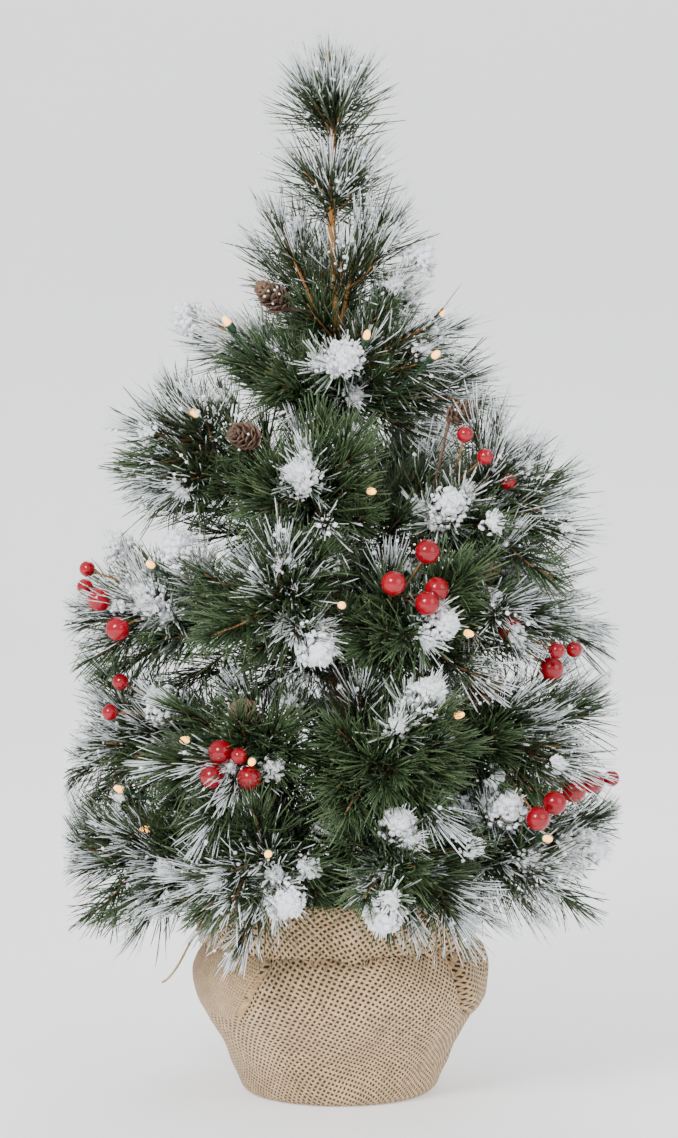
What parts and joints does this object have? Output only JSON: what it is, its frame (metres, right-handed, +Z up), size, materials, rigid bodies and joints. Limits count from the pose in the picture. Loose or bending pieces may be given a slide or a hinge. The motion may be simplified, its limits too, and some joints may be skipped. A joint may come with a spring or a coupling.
{
  "type": "tabletop artificial tree",
  "caption": "Small artificial tree in a weighted burlap sack, with hinged flocked branches, pine cones, red berry sprigs and battery-powered warm white lamps.",
  "frame": {"origin": "centre of the sack's flat underside, on the pole's axis", "axes": "+Z up along the pole, -Y towards the front of the tree, +X to the viewer's right"},
  "size_m": [0.2998, 0.2556, 0.594],
  "materials": {
    "burlap": "plain-weave jute",
    "jute": "twisted",
    "cement": "cast",
    "stuffing": "loose wadding",
    "socket": "moulded",
    "pole": "fibre wrapped",
    "foliage": "needles, partly flocked white",
    "cone": "dry scales",
    "berry": "glossy",
    "wire": "flexible lead and lamp holders",
    "case": "moulded",
    "cell": "printed sleeve",
    "strip": "stamped",
    "knob": "moulded"
  },
  "bodies": {
    "base": {"base_block": "cement", "battery_case": "case", "battery_cell_1": "cell", "battery_cell_2": "cell", "battery_cell_3": "cell", "burlap_cuff": "burlap", "burlap_sack": "burlap", "cone_1": "cone", "contact_springs": "strip", "contact_strip": "strip", "leader": "foliage", "light_lead": "wire", "neck_tie": "jute", "pole": "pole", "stuffing": "stuffing", "trunk_socket": "socket"},
    "cover": {"battery_cover": "case"},
    "branch_c1": {"berries_1": "berry", "branch_c1": "foliage", "lights_6": "wire"},
    "branch_b1": {"berries_2": "berry", "branch_b1": "foliage"},
    "branch_b2": {"berries_3": "berry", "branch_b2": "foliage", "cone_4": "cone", "lights_4": "wire"},
    "branch_c3": {"berries_4": "berry", "branch_c3": "foliage", "lights_7": "wire"},
    "branch_c4": {"berries_5": "berry", "branch_c4": "foliage", "cone_5": "cone"},
    "branch_b4": {"berries_6": "berry", "branch_b4": "foliage", "cone_3": "cone"},
    "branch_d3": {"berries_7": "berry", "branch_d3": "foliage", "cone_6": "cone"},
    "branch_a1": {"branch_a1": "foliage", "lights_1": "wire"},
    "branch_a2": {"branch_a2": "foliage", "lights_2": "wire"},
    "branch_a3": {"branch_a3": "foliage"},
    "branch_a4": {"branch_a4": "foliage", "lights_3": "wire"},
    "branch_a5": {"branch_a5": "foliage"},
    "branch_a6": {"branch_a6": "foliage"},
    "branch_b3": {"branch_b3": "foliage", "lights_5": "wire"},
    "branch_b5": {"branch_b5": "foliage"},
    "branch_c2": {"branch_c2": "foliage"},
    "branch_c5": {"branch_c5": "foliage", "lights_10": "wire"},
    "branch_d1": {"branch_d1": "foliage", "cone_2": "cone", "lights_8": "wire"},
    "branch_d2": {"branch_d2": "foliage", "lights_9": "wire"},
    "branch_d4": {"branch_d4": "foliage"},
    "switch": {"switch_knob": "knob"}
  },
  "joints": [
    {"name": "bend_a1", "type": "hinge", "parent": "base", "child": "branch_a1", "pos_m": [-0.00769, -0.0022, 0.124], "axis": [-0.2756, 0.9613, 0], "range_deg": [-6, 18]},
    {"name": "bend_a2", "type": "hinge", "parent": "base", "child": "branch_a2", "pos_m": [-0.00363, -0.00713, 0.124], "axis": [-0.891, 0.454, 0], "range_deg": [-6, 24]},
    {"name": "bend_a3", "type": "hinge", "parent": "base", "child": "branch_a3", "pos_m": [0.00274, -0.00752, 0.124], "axis": [-0.9397, -0.342, 0], "range_deg": [-5, 12]},
    {"name": "bend_a4", "type": "hinge", "parent": "base", "child": "branch_a4", "pos_m": [0.00765, -0.00234, 0.124], "axis": [-0.2924, -0.9563, 0], "range_deg": [-6, 12]},
    {"name": "bend_a5", "type": "hinge", "parent": "base", "child": "branch_a5", "pos_m": [0.00535, 0.00594, 0.124], "axis": [0.7431, -0.6691, 0], "range_deg": [-8, 28]},
    {"name": "bend_a6", "type": "hinge", "parent": "base", "child": "branch_a6", "pos_m": [-0.00424, 0.00678, 0.124], "axis": [0.848, 0.5299, 0], "range_deg": [-8, 21]},
    {"name": "bend_b1", "type": "hinge", "parent": "base", "child": "branch_b1", "pos_m": [-0.00798, 0.00056, 0.18], "axis": [0.0698, 0.9976, 0], "range_deg": [-8, 24]},
    {"name": "bend_b2", "type": "hinge", "parent": "base", "child": "branch_b2", "pos_m": [-0.00492, -0.0063, 0.18], "axis": [-0.788, 0.6157, 0], "range_deg": [-8, 24]},
    {"name": "bend_b3", "type": "hinge", "parent": "base", "child": "branch_b3", "pos_m": [0.0022, -0.00769, 0.18], "axis": [-0.9613, -0.2756, 0], "range_deg": [-6, 15]},
    {"name": "bend_b4", "type": "hinge", "parent": "base", "child": "branch_b4", "pos_m": [0.00719, -0.00351, 0.18], "axis": [-0.4384, -0.8988, 0], "range_deg": [-6, 18]},
    {"name": "bend_b5", "type": "hinge", "parent": "base", "child": "branch_b5", "pos_m": [0.00247, 0.00761, 0.18], "axis": [0.9511, -0.309, 0], "range_deg": [-8, 32]},
    {"name": "bend_c1", "type": "hinge", "parent": "base", "child": "branch_c1", "pos_m": [-0.00788, -0.00139, 0.236], "axis": [-0.1736, 0.9848, 0], "range_deg": [-8, 28]},
    {"name": "bend_c2", "type": "hinge", "parent": "base", "child": "branch_c2", "pos_m": [-0.003, -0.00742, 0.236], "axis": [-0.9272, 0.3746, 0], "range_deg": [-8, 18]},
    {"name": "bend_c3", "type": "hinge", "parent": "base", "child": "branch_c3", "pos_m": [0.004, -0.00693, 0.236], "axis": [-0.866, -0.5, 0], "range_deg": [-6, 12]},
    {"name": "bend_c4", "type": "hinge", "parent": "base", "child": "branch_c4", "pos_m": [0.00776, -0.00194, 0.236], "axis": [-0.2419, -0.9703, 0], "range_deg": [-6, 10]},
    {"name": "bend_c5", "type": "hinge", "parent": "base", "child": "branch_c5", "pos_m": [-0.00111, 0.00792, 0.236], "axis": [0.9903, 0.1392, 0], "range_deg": [-8, 32]},
    {"name": "bend_d1", "type": "hinge", "parent": "base", "child": "branch_d1", "pos_m": [-0.00752, -0.00274, 0.292], "axis": [-0.342, 0.9397, 0], "range_deg": [-10, 18]},
    {"name": "bend_d2", "type": "hinge", "parent": "base", "child": "branch_d2", "pos_m": [-0.00166, -0.00783, 0.292], "axis": [-0.9781, 0.2079, 0], "range_deg": [-10, 36]},
    {"name": "bend_d3", "type": "hinge", "parent": "base", "child": "branch_d3", "pos_m": [0.00655, -0.00459, 0.292], "axis": [-0.5736, -0.8192, 0], "range_deg": [-10, 21]},
    {"name": "bend_d4", "type": "hinge", "parent": "base", "child": "branch_d4", "pos_m": [0.00376, 0.00706, 0.292], "axis": [0.8829, -0.4695, 0], "range_deg": [-10, 45]},
    {"name": "cover_slide", "type": "slide", "parent": "base", "child": "cover", "axis": [0, 0, 1], "range_m": [0, 0.01]},
    {"name": "switch_slide", "type": "slide", "parent": "base", "child": "switch", "axis": [1, 0, 0], "range_m": [0, 0.004]}
  ]
}
